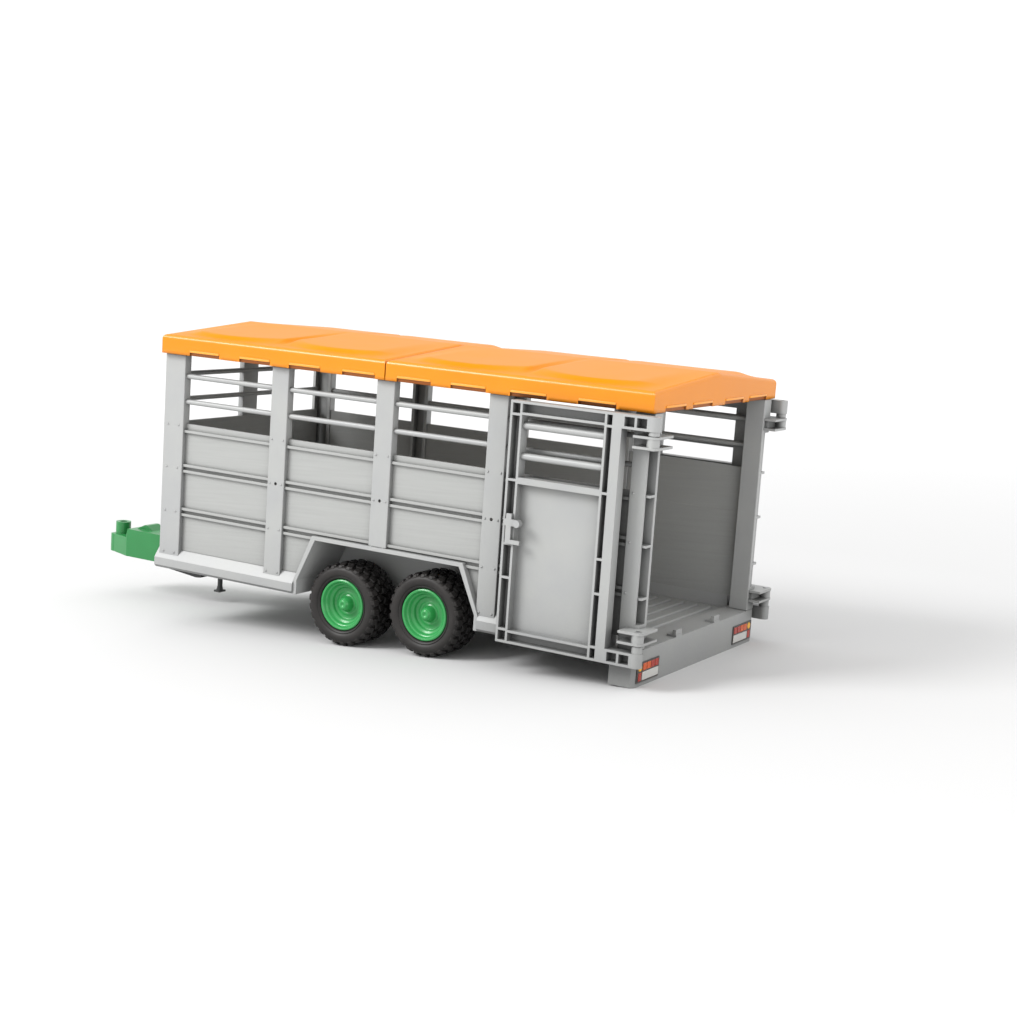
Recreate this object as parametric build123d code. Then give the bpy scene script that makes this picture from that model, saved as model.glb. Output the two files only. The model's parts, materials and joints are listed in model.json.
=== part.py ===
from build123d import *
import os
from math import asin, atan2, degrees, hypot

# Livestock trailer, a 1:16 scale toy. Millimetres.
# Body frame: X rearwards from the front wall, Y to the right-hand side, Z up from the bumper's
# underside. The body stands nose-up on its bumper, so place() tips it into the world frame.

# Body shell
BODY_LENGTH = 342.5
BODY_WIDTH = 160.0
WALL_DEPTH = 6.0
WALL_SKIN = 1.6
BOARD_RECESS = 3.0
BOARD_THICKNESS = 2.0
BOARD_TOP = 108.0
RIDGE_HEIGHT = 1.7
RIDGE_GAP = 2.0
RIDGE_STAND_OFF = 1.8
TOP_RAIL_BOTTOM = 151.2
TOP_RAIL_INSET = 1.2
RAIL_GROOVE = 6.0
WINDOW_RAIL_HEIGHTS = (122.0, 138.0)
WINDOW_RAIL_RADIUS = 1.6

# Posts
FRONT_POST_LENGTH = 15.9
POST_LENGTH = 12.6
POST_FIRST = 90.6
POST_PITCH = 77.2
POST_COUNT = 3
CORNER_POST_LENGTH = 12.0
CORNER_POST_DEPTH = 10.0
CORNER_CHANNEL_WIDTH = 6.0
CORNER_CHANNEL_DEPTH = 5.5
CORNER_RIB_HEIGHTS = (49.5, 78.5, 106.0)
EDGE_RADIUS = 0.5
POST_FOOT = 22.0
POST_HOLE_RADIUS = 1.0
SMALLEST_STUB = 40.0

# Sill, floor and bumper
SILL_BOTTOM = 14.5
SILL_TOP = 21.0
SILL_STAND_OFF = 2.0
BAND_TOP = 27.0
FLOOR_BOTTOM = 16.3
FLOOR_TOP = 19.3
FLOOR_RIB_PITCH = 9.35
FLOOR_RIB_HEIGHT = 1.2
FLOOR_RIB_WIDTH = 2.4
FLOOR_RIB_MARGIN = 14.0
BUMPER_LENGTH = 15.5
BUMPER_TOP = 20.5
BUMPER_WALL = 2.2
BUMPER_CHAMFER = 2.0

# Wheel arches
ARCH_OFFSET = 3.4
ARCH_HEADROOM = 10.2
ARCH_KNEE = 23.3
ARCH_TOP_SPARE = 43.6
ARCH_FOOT_SPARE = 17.4
HOUSING_DEPTH = 40.0
HOUSING_WALL = 1.8
HANGER_LENGTH = 30.0
HANGER_DROP = 7.0
HOUSING_TRIM = 2.4
UPPER_BOARD_JOINT = 80.0

# Roof
ROOF_OVERHANG = 3.4
ROOF_SKIRT_BOTTOM = 151.5
ROOF_EAVE = 163.0
ROOF_RIDGE = 170.2
ROOF_WALL = 1.6
ROOF_END_OVERHANG = 0.6
ROOF_SPLIT = 169.0
ROOF_SPLIT_GAP = 0.8
ROOF_EDGE_RADIUS = 2.4
ROOF_SEAT_GAP = 0.3
TOP_RAIL_TOP = ROOF_EAVE - ROOF_WALL - ROOF_SEAT_GAP
GRIP_LENGTH = 23.5
GRIP_HEIGHT = 3.4
GRIP_DEPTH = 1.1
GRIP_COUNT = 4
FIELD_DEPTH = 0.9
FIELD_MARGIN = 7.0

# Rear doors and hinges
DOOR_REAR_GAP = 0.3
DOOR_SIDE_GAP = 4.1
DOOR_THICKNESS = 7.0
DOOR_BOTTOM = 13.8
DOOR_TOP = 150.4
DOOR_MEETING_GAP = 1.2
DOOR_SKIN = 1.4
STILE_WIDTH = 7.6
HINGE_STILE_WIDTH = 6.0
HINGE_STRIP_WIDTH = 4.4
ARM_ROOM = 17.8
ARM_HEIGHT = 8.0
DOOR_RAIL_HEIGHTS = (119.6, 136.7)
DOOR_RAIL_RADIUS = 2.0
MID_RAIL_BOTTOM = 104.4
MID_RAIL_HEIGHT = 3.6
PANEL_THICKNESS = 2.0
CELL_HEIGHTS = (51.0, 70.1, 106.2)
PIN_RADIUS = 1.5
RUNNING_CLEARANCE = 0.06
LUG_THICKNESS = 1.4
UPPER_LUGS = (132.6, 138.4)
LOWER_LUGS = (26.2, 32.0)
LUG_GAP = 0.3
BOSS_RADIUS = 3.4
LATCH_SIDE = "left"
LATCH_HEIGHT = 79.0
LATCH_EDGE = 4.6
LATCH_LENGTH = 17.0
LATCH_BAR = 1.6
LATCH_KNOB = 3.4
LATCH_GAP = 0.3
LATCH_BACK = 1.6

# Running gear
WHEEL_RADIUS = 25.4
WHEEL_GAP = 8.6
TYRE_WIDTH = 27.0
TYRE_INSET = 3.0
RIM_SEAT_RADIUS = 15.6
BOGIE_X = 171.0
BOGIE_Z = 14.2
AXLE_RADIUS = 2.0
ROCKER_THICKNESS = 4.0
ROCKER_GAP = 1.2
ROCKER_HEIGHT = 9.0

# Drawbar and jack
DRAWBAR_TIP = -113.0
DRAWBAR_BREAK = -89.0
DRAWBAR_WIDTH = 26.0
DRAWBAR_NOSE_RADIUS = 6.5
DRAWBAR_TOP = 18.4
DRAWBAR_NOSE_TOP = 12.4
DRAWBAR_HUMP = 3.2
DRAWBAR_WALL = 2.2
DRAWBAR_TAIL = 46.0
DRAWBAR_BOTTOM = -0.8
DRAWBAR_BOLTS = (8.0, 28.0)
DRAWBAR_BOLT_RADIUS = 1.6
HITCH_X = -104.0
HITCH_RADIUS = 5.2
HITCH_TOP = 20.2
HITCH_BORE_RADIUS = 2.6
HITCH_BUSH_WALL = 0.8
JACK_X = -14.8
JACK_PIVOT_Z = 3.0
JACK_FOOT_Z = -15.8
JACK_LEG_RADIUS = 1.7
JACK_FOOT_LENGTH = 5.0
JACK_FOOT_WIDTH = 6.6
KEEL_FRONT = -57.0
KEEL_REAR = -19.4
KEEL_DROP = 5.2
KEEL_PLUG_GAP = 0.2

HALF = BODY_WIDTH / 2
REAR = BODY_LENGTH
WHEEL_SPACING = 2 * WHEEL_RADIUS + WHEEL_GAP
ARCH_CENTRE = BOGIE_X + ARCH_OFFSET
ARCH_TOP = BOGIE_Z + WHEEL_RADIUS + ARCH_HEADROOM
ARCH_TOP_LENGTH = WHEEL_SPACING + ARCH_TOP_SPARE
ARCH_FOOT_LENGTH = WHEEL_SPACING + 2 * WHEEL_RADIUS + ARCH_FOOT_SPARE
BOARD_JOINTS = (ARCH_TOP + HOUSING_TRIM, UPPER_BOARD_JOINT)
HINGE_X = REAR + DOOR_REAR_GAP + DOOR_THICKNESS / 2
HINGE_Y = HALF + DOOR_SIDE_GAP + DOOR_THICKNESS / 2
DOOR_REACH = HINGE_Y - DOOR_MEETING_GAP / 2
LUG_REACH = HINGE_Y - HALF + BOSS_RADIUS
LATCH_U = DOOR_REACH - LATCH_EDGE
SIDES = {"left": -1, "right": 1}


def post_spans():
    """Front-to-back extent of each side post ahead of the corner post."""
    spans = [(0.0, FRONT_POST_LENGTH)]
    for i in range(POST_COUNT):
        centre = POST_FIRST + i * POST_PITCH
        spans.append((centre - POST_LENGTH / 2, centre + POST_LENGTH / 2))
    return spans


def bay_spans():
    """The clear stretches between one post and the next."""
    edges = post_spans() + [(REAR - CORNER_POST_LENGTH, REAR)]
    return [(a[1], b[0]) for a, b in zip(edges, edges[1:])]


def block(x, y, z):
    """A box from three (low, high) pairs."""
    size = [abs(high - low) for low, high in (x, y, z)]
    centre = [(high + low) / 2 for low, high in (x, y, z)]
    return Pos(*centre) * Box(*size)


def side_block(side, x, depth, z):
    """A box on one side wall: depth counts inwards from the outer face of the posts."""
    y = tuple(SIDES[side] * (HALF - d) for d in depth)
    return block(x, y, z)


def rod(start, end, radius):
    """A round bar between two points."""
    path = Vector(*end) - Vector(*start)
    plane = Plane(origin=start, z_dir=path)
    return extrude(plane * Circle(radius), path.length)


def softened(shape, radius=EDGE_RADIUS):
    """The shape with every edge rounded."""
    return fillet(shape.edges(), radius)


def group(shapes):
    """Separate solids kept together in one node."""
    return Compound(children=[solid for shape in shapes for solid in shape.solids()])


def prism_y(points, y_low, y_high):
    """An (x, z) outline, extruded from y_low to y_high."""
    face = make_face(Polyline(*[(x, 0, z) for x, z in points], close=True))
    solid = extrude(face, y_high - y_low, dir=(0, 1, 0))
    return Pos(0, y_low, 0) * solid


def prism_x(points, x_low, x_high):
    """A (y, z) outline, extruded from x_low to x_high."""
    face = make_face(Polyline(*[(0, y, z) for y, z in points], close=True))
    solid = extrude(face, x_high - x_low, dir=(1, 0, 0))
    return Pos(x_low, 0, 0) * solid


def arch_outline(grow=0.0):
    """The wheel arch opening as (x, z) points, larger all round by grow."""
    top = ARCH_TOP_LENGTH / 2 + grow
    foot = ARCH_FOOT_LENGTH / 2 + grow
    low = SILL_BOTTOM - 1.0
    right = [(top, ARCH_TOP + grow), (foot, ARCH_KNEE), (foot, low)]
    left = [(-x, z) for x, z in reversed(right)]
    return [(ARCH_CENTRE + x, z) for x, z in right + left]


# ---- Side walls -------------------------------------------------------------------------------

def side_posts(side):
    """Box posts with a moulded hollow in their inner face, clear of the wheel arch."""
    posts = []
    for i, (front, back) in enumerate(post_spans()):
        bottom = POST_FOOT if i != over_arch() else ARCH_TOP + HOUSING_TRIM
        post = softened(side_block(side, (front, back), (0, WALL_DEPTH), (bottom, TOP_RAIL_BOTTOM)))
        hollow_x = (front + WALL_SKIN * 1.5, back - WALL_SKIN * 1.5)
        hollow_z = (bottom + WALL_SKIN, TOP_RAIL_BOTTOM - WALL_SKIN)
        post -= side_block(side, hollow_x, (WALL_SKIN, WALL_DEPTH + 1), hollow_z)
        if i:
            hole_x = (front + back) / 2
            post -= rod((hole_x, SIDES[side] * (HALF + 1), BOARD_JOINTS[1]),
                        (hole_x, SIDES[side] * (HALF - WALL_SKIN - 1), BOARD_JOINTS[1]), POST_HOLE_RADIUS)
        posts.append(post - arch_space(side))
    return group(posts)


def over_arch():
    """The number of the post that stands over the middle of the wheel arch."""
    middles = [abs((front + back) / 2 - ARCH_CENTRE) for front, back in post_spans()]
    return middles.index(min(middles))


def arch_space(side):
    """All that the wheel housing takes out of one side wall."""
    y = sorted(SIDES[side] * (HALF - depth) for depth in (-5.0, HOUSING_DEPTH))
    return prism_y(arch_outline(HOUSING_TRIM), *y)


def board(side, x, z):
    """One flat board of the wall."""
    depth = (BOARD_RECESS, BOARD_RECESS + BOARD_THICKNESS)
    return side_block(side, x, depth, z)


def joint_ridge(side, x, z):
    """The pair of ridges along the joint between two boards."""
    depth = (BOARD_RECESS - RIDGE_STAND_OFF, BOARD_RECESS)
    lower = side_block(side, x, depth, (z - RIDGE_GAP / 2 - RIDGE_HEIGHT, z - RIDGE_GAP / 2))
    upper = side_block(side, x, depth, (z + RIDGE_GAP / 2, z + RIDGE_GAP / 2 + RIDGE_HEIGHT))
    return lower, upper


def side_boards(side):
    """Three boards to a bay, the lowest cut back where the wheel arch comes."""
    levels = (BAND_TOP,) + BOARD_JOINTS + (BOARD_TOP,)
    boards = []
    for front, back in bay_spans():
        for low, high in zip(levels, levels[1:]):
            piece = ridged(side, board(side, (front, back), (low, high)), front, back, low, high)
            clear = piece - arch_space(side)
            boards += [solid for solid in clear.solids() if solid.volume > SMALLEST_STUB]
    return group(boards)


def ridged(side, piece, front, back, low, high):
    """The board with the half of each joint's ridges that falls on it."""
    for z in BOARD_JOINTS + (BOARD_TOP - RIDGE_GAP / 2 - RIDGE_HEIGHT,):
        for ridge in joint_ridge(side, (front, back), z):
            box = ridge.bounding_box()
            if low <= box.min.Z and box.max.Z <= high:
                piece += ridge
    return piece


def side_window_rails(side):
    """Two round rails across each window."""
    y = SIDES[side] * (HALF - WALL_DEPTH / 2)
    rails = []
    for front, back in bay_spans():
        for z in WINDOW_RAIL_HEIGHTS:
            rails.append(rod((front, y, z), (back, y, z), WINDOW_RAIL_RADIUS))
    return group(rails)


def side_top_rail(side):
    """The rail that joins the posts' tops and carries the roof."""
    x = (TOP_RAIL_INSET, REAR - TOP_RAIL_INSET)
    rail = side_block(side, x, (0.4, WALL_DEPTH), (TOP_RAIL_BOTTOM, TOP_RAIL_TOP))
    groove = side_block(side, x, (WALL_SKIN, WALL_DEPTH - WALL_SKIN),
                        (TOP_RAIL_TOP - RAIL_GROOVE, TOP_RAIL_TOP + 1))
    return rail - groove


def side_sill(side):
    """The bevelled sill, in one piece ahead of the arch and one behind it."""
    sign = SIDES[side]
    inner = BOARD_RECESS + BOARD_THICKNESS
    outline = [(-SILL_STAND_OFF, SILL_TOP), (-SILL_STAND_OFF, SILL_BOTTOM + 1.6), (-0.4, SILL_BOTTOM),
               (inner, SILL_BOTTOM), (inner, BAND_TOP), (BOARD_RECESS - 0.6, BAND_TOP)]
    points = [(sign * (HALF - depth), z) for depth, z in outline]
    reach = ARCH_FOOT_LENGTH / 2 + HOUSING_TRIM
    front = prism_x(points, -SILL_STAND_OFF, ARCH_CENTRE - reach)
    back = prism_x(points, ARCH_CENTRE + reach, REAR - BUMPER_LENGTH)
    sockets = post_sockets(side)
    return group([front - sockets, back - sockets])


def post_sockets(side):
    """What the feet of the posts take out of the sills."""
    feet = [side_block(side, span, (-0.01, WALL_DEPTH), (POST_FOOT, BAND_TOP + 1)) for span in post_spans()]
    return Part() + feet


def wheel_housing(side):
    """The arch liner: a roof, two slanted ends and an inner wall, with a trim round the arch."""
    outer = (-0.8, HOUSING_DEPTH)
    y = sorted(SIDES[side] * (HALF - d) for d in outer)
    shell = prism_y(arch_outline(HOUSING_TRIM), *y)
    inner = sorted(SIDES[side] * (HALF - d) for d in (-2.0, HOUSING_DEPTH - HOUSING_WALL))
    shell -= prism_y(arch_outline(), *inner)
    low = SILL_BOTTOM - 5.0
    shell -= block((0, REAR), (-HALF - 5, HALF + 5), (low - 20, SILL_BOTTOM))
    wall = (HOUSING_DEPTH - HOUSING_WALL, HOUSING_DEPTH)
    hanger = side_block(side, (BOGIE_X - HANGER_LENGTH / 2, BOGIE_X + HANGER_LENGTH / 2), wall,
                        (BOGIE_Z - HANGER_DROP, SILL_BOTTOM + 5))
    return shell + hanger


# ---- Front and rear ----------------------------------------------------------------------------

def front_boards():
    """Three boards across the front, between the side walls."""
    inner = HALF - WALL_DEPTH
    levels = (BAND_TOP,) + BOARD_JOINTS + (BOARD_TOP,)
    boards = []
    for low, high in zip(levels, levels[1:]):
        piece = block((BOARD_RECESS, BOARD_RECESS + BOARD_THICKNESS), (-inner, inner), (low, high))
        for edge, way in ((low, 1), (high, -1)):
            z = sorted((edge + way * RIDGE_GAP / 2, edge + way * (RIDGE_GAP / 2 + RIDGE_HEIGHT)))
            piece += block((BOARD_RECESS - RIDGE_STAND_OFF, BOARD_RECESS), (-inner, inner), z)
        boards.append(piece)
    return group(boards)


def front_window_rails():
    """Two round rails across the front window."""
    inner = HALF - WALL_DEPTH
    x = WALL_DEPTH / 2
    return group([rod((x, -inner, z), (x, inner, z), WINDOW_RAIL_RADIUS) for z in WINDOW_RAIL_HEIGHTS])


def front_top_rail():
    """The rail over the front window."""
    inner = HALF - WALL_DEPTH
    return block((TOP_RAIL_INSET, WALL_DEPTH), (-inner, inner), (TOP_RAIL_BOTTOM, TOP_RAIL_TOP))


def front_sill():
    """The sill across the front, between the side sills."""
    inner = HALF - BOARD_RECESS - BOARD_THICKNESS
    outline = [(-SILL_STAND_OFF, SILL_TOP), (-SILL_STAND_OFF, SILL_BOTTOM + 1.6), (-0.4, SILL_BOTTOM),
               (5.0, SILL_BOTTOM), (5.0, BAND_TOP), (BOARD_RECESS - 0.6, BAND_TOP)]
    return prism_y(outline, -inner, inner) - post_sockets("left") - post_sockets("right")


def rear_header():
    """The cross rail that ties the side walls together over the doorway."""
    inner = HALF - WALL_DEPTH
    x = (REAR - WALL_DEPTH, REAR - TOP_RAIL_INSET)
    return block(x, (-inner, inner), (TOP_RAIL_BOTTOM + 1.0, TOP_RAIL_TOP))


def corner_post(side):
    """Rear corner post with a ribbed channel down its rear face."""
    x = (REAR - CORNER_POST_LENGTH, REAR)
    post = softened(side_block(side, x, (0, CORNER_POST_DEPTH), (BUMPER_TOP, TOP_RAIL_BOTTOM)))
    channel_depth = (1.2, 1.2 + CORNER_CHANNEL_WIDTH)
    stops = (34.5,) + CORNER_RIB_HEIGHTS + (131.5,)
    for low, high in zip(stops, stops[1:]):
        cell = (REAR - CORNER_CHANNEL_DEPTH, REAR + 1)
        post -= side_block(side, cell, channel_depth, (low + 0.7, high - 0.7))
    notch = (REAR - 2.4, REAR + 1)
    post -= side_block(side, notch, (-1, 1.2), (34.5 + 0.7, 131.5 - 0.7))
    return post


def hinge_brackets(side):
    """Two pairs of hinge lugs round the rear corner, each pair with a boss between."""
    sign = SIDES[side]
    y_out = sign * (HALF + LUG_REACH)
    brackets = []
    for low, high in (UPPER_LUGS, LOWER_LUGS):
        lugs = lug_plate(side, low) + lug_plate(side, high)
        boss = rod((HINGE_X, sign * HINGE_Y, low), (HINGE_X, sign * HINGE_Y, high), BOSS_RADIUS)
        web = block((REAR + 0.1, REAR + 1.6), sorted((sign * (HALF - 7), y_out - sign * 2.6)), (low, high))
        bore = rod((HINGE_X, sign * HINGE_Y, low - 5), (HINGE_X, sign * HINGE_Y, high + 5),
                   PIN_RADIUS + RUNNING_CLEARANCE)
        brackets.append(lugs + boss + web - bore)
    return group(brackets)


def lug_plate(side, z):
    """One flat lug that wraps the corner post from its outer side to its rear."""
    sign = SIDES[side]
    y_out = sign * (HALF + LUG_REACH)
    outboard = block((REAR - 7.0, REAR + 7.4), sorted((sign * HALF, y_out)), (z, z + LUG_THICKNESS))
    behind = block((REAR, REAR + 7.4), sorted((sign * (HALF - 9.0), sign * HALF)), (z, z + LUG_THICKNESS))
    plate = outboard + behind
    return fillet(plate.edges().filter_by(Axis.Z).sort_by_distance((REAR + 7.4, y_out, z))[:1], 3.0)


def bumper():
    """The box beam across the back, open underneath."""
    x = (REAR - BUMPER_LENGTH, REAR)
    beam = block(x, (-HALF - 1.0, HALF + 1.0), (0, BUMPER_TOP))
    corners = beam.edges().filter_by(Axis.Z).group_by(Axis.X)[-1]
    beam = chamfer(corners, BUMPER_CHAMFER)
    wall = BUMPER_WALL
    inside = block((x[0] + wall, x[1] - wall), (-HALF - 1.0 + wall, HALF + 1.0 - wall),
                   (-1, BUMPER_TOP - wall))
    return beam - inside


def floor_pan():
    """The floor plate with its cross ribs, narrowed between the wheel housings."""
    side = HALF - BOARD_RECESS - BOARD_THICKNESS
    x = (5.0, REAR - BUMPER_LENGTH)
    plate = block(x, (-side, side), (FLOOR_BOTTOM, FLOOR_TOP))
    reach = ARCH_FOOT_LENGTH / 2 + HOUSING_TRIM
    gap = (ARCH_CENTRE - reach, ARCH_CENTRE + reach)
    for sign in SIDES.values():
        y = sorted((sign * (HALF - HOUSING_DEPTH), sign * (HALF + 1)))
        plate -= block(gap, y, (FLOOR_BOTTOM - 1, FLOOR_TOP + 1))
    count = int((x[1] - x[0]) / FLOOR_RIB_PITCH)
    for i in range(1, count):
        plate += floor_rib(x[1] - (i - 0.25) * FLOOR_RIB_PITCH, gap)
    return plate


def floor_rib(x, gap):
    """One raised cross rib, shorter between the wheel housings."""
    beside_arch = gap[0] - FLOOR_RIB_WIDTH < x < gap[1] + FLOOR_RIB_WIDTH
    margin = HOUSING_DEPTH + 3.0 if beside_arch else FLOOR_RIB_MARGIN
    half_base, half_top = FLOOR_RIB_WIDTH / 2, FLOOR_RIB_WIDTH / 4
    outline = [(x - half_base, FLOOR_TOP - 0.2), (x + half_base, FLOOR_TOP - 0.2),
               (x + half_top, FLOOR_TOP + FLOOR_RIB_HEIGHT), (x - half_top, FLOOR_TOP + FLOOR_RIB_HEIGHT)]
    return prism_y(outline, margin - HALF, HALF - margin)


def tail_light_plate(side):
    """The lamp plate let into the bumper's rear face."""
    sign = SIDES[side]
    y = sorted((sign * (HALF - 29.0), sign * (HALF + 1.0 - BUMPER_CHAMFER - 0.8)))
    return block((REAR, REAR + 0.5), y, (2.4, 13.6))


def door_catches():
    """Two snap catches on top of the bumper, one for each door."""
    catches = []
    for sign in SIDES.values():
        y = sign * 26.0
        foot = block((REAR - 6.0, REAR), (y - 4, y + 4), (BUMPER_TOP, BUMPER_TOP + 1.2))
        nose = block((REAR - 2.4, REAR - 0.4), (y - 4, y + 4), (BUMPER_TOP + 1.2, BUMPER_TOP + 4.0))
        catches.append(foot + nose)
    return group(catches)


# ---- Roof ---------------------------------------------------------------------------------------

def gable(half, eave, ridge, bottom, x_low, x_high):
    """A gabled block: vertical sides to the eave and two slopes up to the ridge."""
    points = [(-half, bottom), (half, bottom), (half, eave), (0, ridge), (-half, eave)]
    return prism_x(points, x_low, x_high)


def roof_half(front, back):
    """One half of the roof: a gabled shell, open where the halves meet, with grips in its skirt."""
    half = HALF + ROOF_OVERHANG
    shell = gable(half, ROOF_EAVE, ROOF_RIDGE, ROOF_SKIRT_BOTTOM, front, back)
    top = [e for e in shell.edges() if e.center().Z > ROOF_SKIRT_BOTTOM + 1]
    shell = fillet([e for e in top if abs(e.center().Y) > 1 or not on_ridge(e)], ROOF_EDGE_RADIUS)
    wall = ROOF_WALL
    inner_front = front - 1 if front > 0 else front + wall
    inner_back = back + 1 if front <= 0 else back - wall
    shell -= gable(half - wall, ROOF_EAVE - wall, ROOF_RIDGE - wall, ROOF_SKIRT_BOTTOM - 1,
                   inner_front, inner_back)
    for sign in SIDES.values():
        for field_low, field_high in halves(front, back):
            shell -= roof_field(sign, field_low, field_high)
    for x in spread(front, back, GRIP_COUNT):
        for sign in SIDES.values():
            shell -= grip_on_side(x, sign)
    return shell


def on_ridge(edge):
    """True for the ridge line itself, which stays sharp."""
    box = edge.bounding_box()
    return box.size.X > 10 and abs(edge.center().Y) < 0.1


def halves(low, high):
    """Two equal stretches, one before and one behind the middle, with a margin round each."""
    middle = (low + high) / 2
    return (low + FIELD_MARGIN, middle - 0.4), (middle + 0.4, high - FIELD_MARGIN)


def spread(low, high, count):
    """Evenly spaced centres along a stretch."""
    pitch = (high - low) / count
    return [low + (i + 0.5) * pitch for i in range(count)]


def roof_field(sign, low, high):
    """A shallow dip in one slope, deepest along its lower border."""
    half = HALF + ROOF_OVERHANG
    slope = (ROOF_RIDGE - ROOF_EAVE) / half
    y_low, y_high = half - FIELD_MARGIN, 4.0
    z_low, z_high = ROOF_EAVE + slope * FIELD_MARGIN, ROOF_RIDGE - slope * y_high
    points = [(sign * y_low, z_low - FIELD_DEPTH), (sign * y_low, z_low + 3), (sign * y_high, z_high + 3),
              (sign * y_high, z_high - 0.05)]
    return prism_x(points, low, high)


def grip_on_side(x, sign):
    """A wedge-shaped finger recess along the skirt's lower edge."""
    half = HALF + ROOF_OVERHANG
    z = ROOF_SKIRT_BOTTOM
    points = [(sign * (half + 1), z - 1), (sign * (half - GRIP_DEPTH), z - 1),
              (sign * (half - GRIP_DEPTH * 0.6), z + GRIP_HEIGHT), (sign * (half + 1), z + GRIP_HEIGHT)]
    return prism_x(points, x - GRIP_LENGTH / 2, x + GRIP_LENGTH / 2)


def grip_on_end(y, end, way):
    """The same recess on the front or rear skirt."""
    z = ROOF_SKIRT_BOTTOM
    points = [(end + way, z - 1), (end - way * GRIP_DEPTH, z - 1),
              (end - way * GRIP_DEPTH * 0.6, z + GRIP_HEIGHT), (end + way, z + GRIP_HEIGHT)]
    return prism_y(points, y - GRIP_LENGTH / 2, y + GRIP_LENGTH / 2)


def roof(which):
    """The front or the rear roof half, with grips on the end that faces outwards."""
    half = HALF + ROOF_OVERHANG
    if which == "front":
        shell = roof_half(-ROOF_END_OVERHANG, ROOF_SPLIT - ROOF_SPLIT_GAP / 2)
        end, way = -ROOF_END_OVERHANG, -1
    else:
        shell = roof_half(ROOF_SPLIT + ROOF_SPLIT_GAP / 2, REAR + ROOF_END_OVERHANG)
        end, way = REAR + ROOF_END_OVERHANG, 1
    for y in spread(-half + 6, half - 6, GRIP_COUNT):
        shell -= grip_on_end(y, end, way)
    return shell


# ---- Rear doors -----------------------------------------------------------------------------------
# A door is drawn open, lying along the side wall. u counts forwards from the hinge axis.

DOOR_INNER = HINGE_Y - DOOR_THICKNESS / 2
DOOR_OUTER = HINGE_Y + DOOR_THICKNESS / 2


def door_block(side, u, depth, z):
    """A box on an open door: depth counts inwards from the door's ribbed outer face."""
    x = (HINGE_X - u[1], HINGE_X - u[0])
    y = tuple(SIDES[side] * (DOOR_OUTER - d) for d in depth)
    return block(x, y, z)


def door(side):
    """Ribbed door frame with its lower panel and the two hinge arms."""
    full = (0, DOOR_THICKNESS)
    frame = door_block(side, (ARM_ROOM, DOOR_REACH), full, (DOOR_BOTTOM, DOOR_TOP))
    inner_u = (ARM_ROOM + HINGE_STRIP_WIDTH + HINGE_STILE_WIDTH, DOOR_REACH - STILE_WIDTH)
    bottom_rail = DOOR_BOTTOM + STILE_WIDTH
    panel_z = (bottom_rail, MID_RAIL_BOTTOM)
    window_z = (MID_RAIL_BOTTOM + MID_RAIL_HEIGHT, DOOR_TOP - STILE_WIDTH)
    frame -= door_block(side, inner_u, (-1, DOOR_THICKNESS - PANEL_THICKNESS), panel_z)
    frame -= door_block(side, inner_u, (-1, DOOR_THICKNESS + 1), window_z)
    frame -= stile_cells(side, (inner_u[1] + DOOR_SKIN, DOOR_REACH - DOOR_SKIN))
    frame -= stile_cells(side, (inner_u[0] - HINGE_STILE_WIDTH + DOOR_SKIN, inner_u[0] - DOOR_SKIN))
    for z in ((DOOR_BOTTOM, bottom_rail), (DOOR_TOP - STILE_WIDTH, DOOR_TOP)):
        cell_z = (z[0] + DOOR_SKIN, z[1] - DOOR_SKIN)
        frame -= door_block(side, inner_u, (-1, DOOR_THICKNESS - DOOR_SKIN), cell_z)
    lower, upper = (DOOR_BOTTOM, DOOR_BOTTOM + ARM_HEIGHT), (DOOR_TOP - ARM_HEIGHT, DOOR_TOP)
    frame += door_arm(side, lower, (lower[1], LOWER_LUGS[0] - LUG_GAP))
    frame += door_arm(side, upper, (UPPER_LUGS[1] + LUG_THICKNESS + LUG_GAP, upper[0]))
    if side == LATCH_SIDE:
        frame -= latch_spindle(side, PIN_RADIUS + RUNNING_CLEARANCE)
    return frame


def stile_cells(side, u):
    """The open cells down one stile, parted by cross ribs."""
    stops = (DOOR_BOTTOM, DOOR_BOTTOM + STILE_WIDTH) + CELL_HEIGHTS + (DOOR_TOP - STILE_WIDTH, DOOR_TOP)
    half_rib = DOOR_SKIN / 2
    cells = []
    for low, high in zip(stops, stops[1:]):
        low_edge = low + (DOOR_SKIN if low == DOOR_BOTTOM else half_rib)
        high_edge = high - (DOOR_SKIN if high == DOOR_TOP else half_rib)
        cells.append(door_block(side, u, (-1, DOOR_THICKNESS - DOOR_SKIN), (low_edge, high_edge)))
    return Part() + cells


def door_arm(side, z, boss_z):
    """A hinge arm: a box of cells with a round end on the hinge axis and a boss towards the lugs."""
    sign = SIDES[side]
    axis = (HINGE_X, sign * HINGE_Y)
    arm = door_block(side, (0, ARM_ROOM + 0.01), (0, DOOR_THICKNESS), z)
    arm += rod((*axis, z[0]), (*axis, z[1]), DOOR_THICKNESS / 2)
    arm += rod((*axis, boss_z[0]), (*axis, boss_z[1]), BOSS_RADIUS - 0.4)
    cell_z = (z[0] + DOOR_SKIN, z[1] - DOOR_SKIN)
    width = (ARM_ROOM - PIN_RADIUS * 2 - DOOR_SKIN * 2) / 2
    for i in range(2):
        start = PIN_RADIUS * 2 + i * (width + DOOR_SKIN)
        arm -= door_block(side, (start, start + width), (-1, DOOR_THICKNESS - DOOR_SKIN), cell_z)
    low, high = min(z[0], boss_z[0]) - 1, max(z[1], boss_z[1]) + 1
    return arm - rod((*axis, low), (*axis, high), PIN_RADIUS)


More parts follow.
